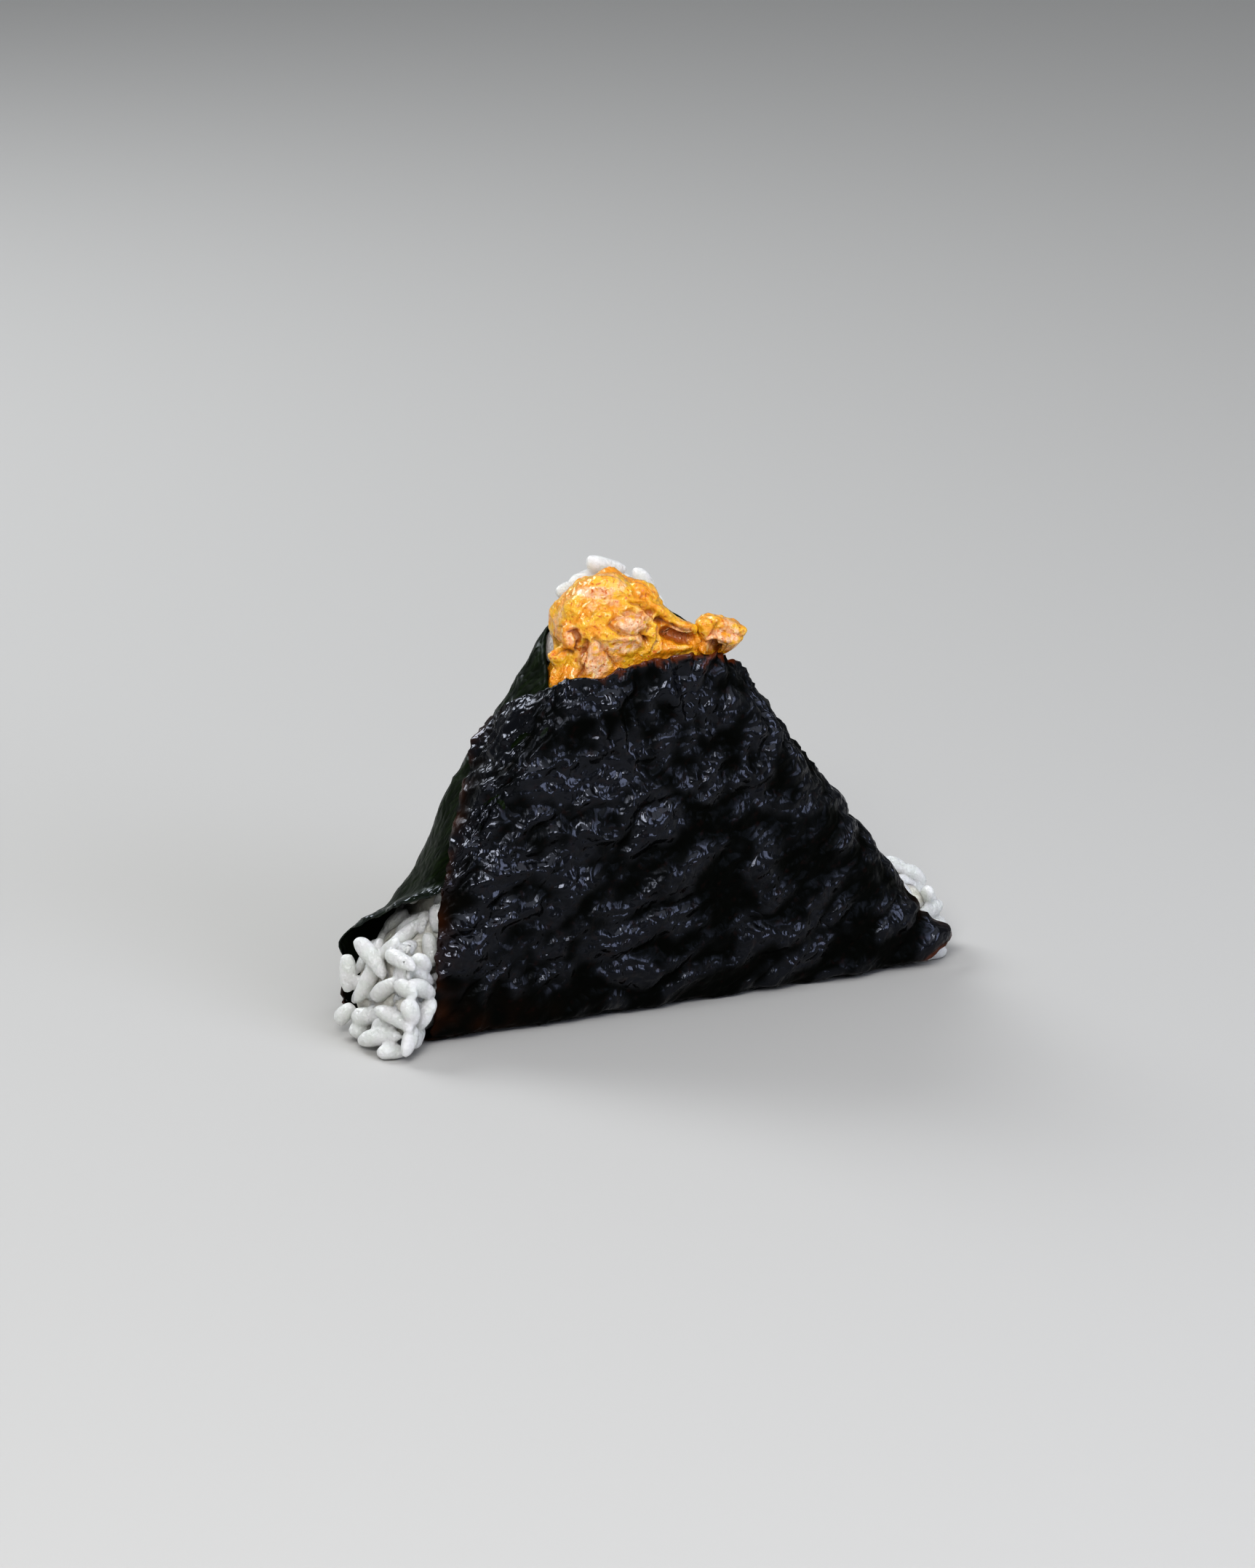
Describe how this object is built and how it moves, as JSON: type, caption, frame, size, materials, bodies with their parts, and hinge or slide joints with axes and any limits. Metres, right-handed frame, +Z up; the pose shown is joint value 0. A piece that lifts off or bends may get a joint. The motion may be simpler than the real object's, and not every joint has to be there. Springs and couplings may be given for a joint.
{
  "type": "onigiri rice ball",
  "caption": "Triangular rice ball folded into one sheet of dried seaweed, with flaked salmon showing in its open top corner.",
  "frame": {"origin": "centre of the overall box, on the surface the rice ball stands on", "axes": "+X along the base from the end with more bare rice to the other end, +Y from the shown broad face to the hidden one, +Z up to the open top corner"},
  "size_m": [0.1076, 0.0299, 0.0714],
  "materials": {
    "cooked_rice": "moist, slightly translucent cooked rice",
    "nori": "semi-gloss crumpled dried seaweed",
    "salmon": "glossy sauced flaked salmon"
  },
  "bodies": {
    "root": {"rice_ball": "cooked_rice", "nori_wrap": "nori", "salmon_filling": "salmon", "salmon_chunk_right": "salmon"}
  },
  "joints": []
}
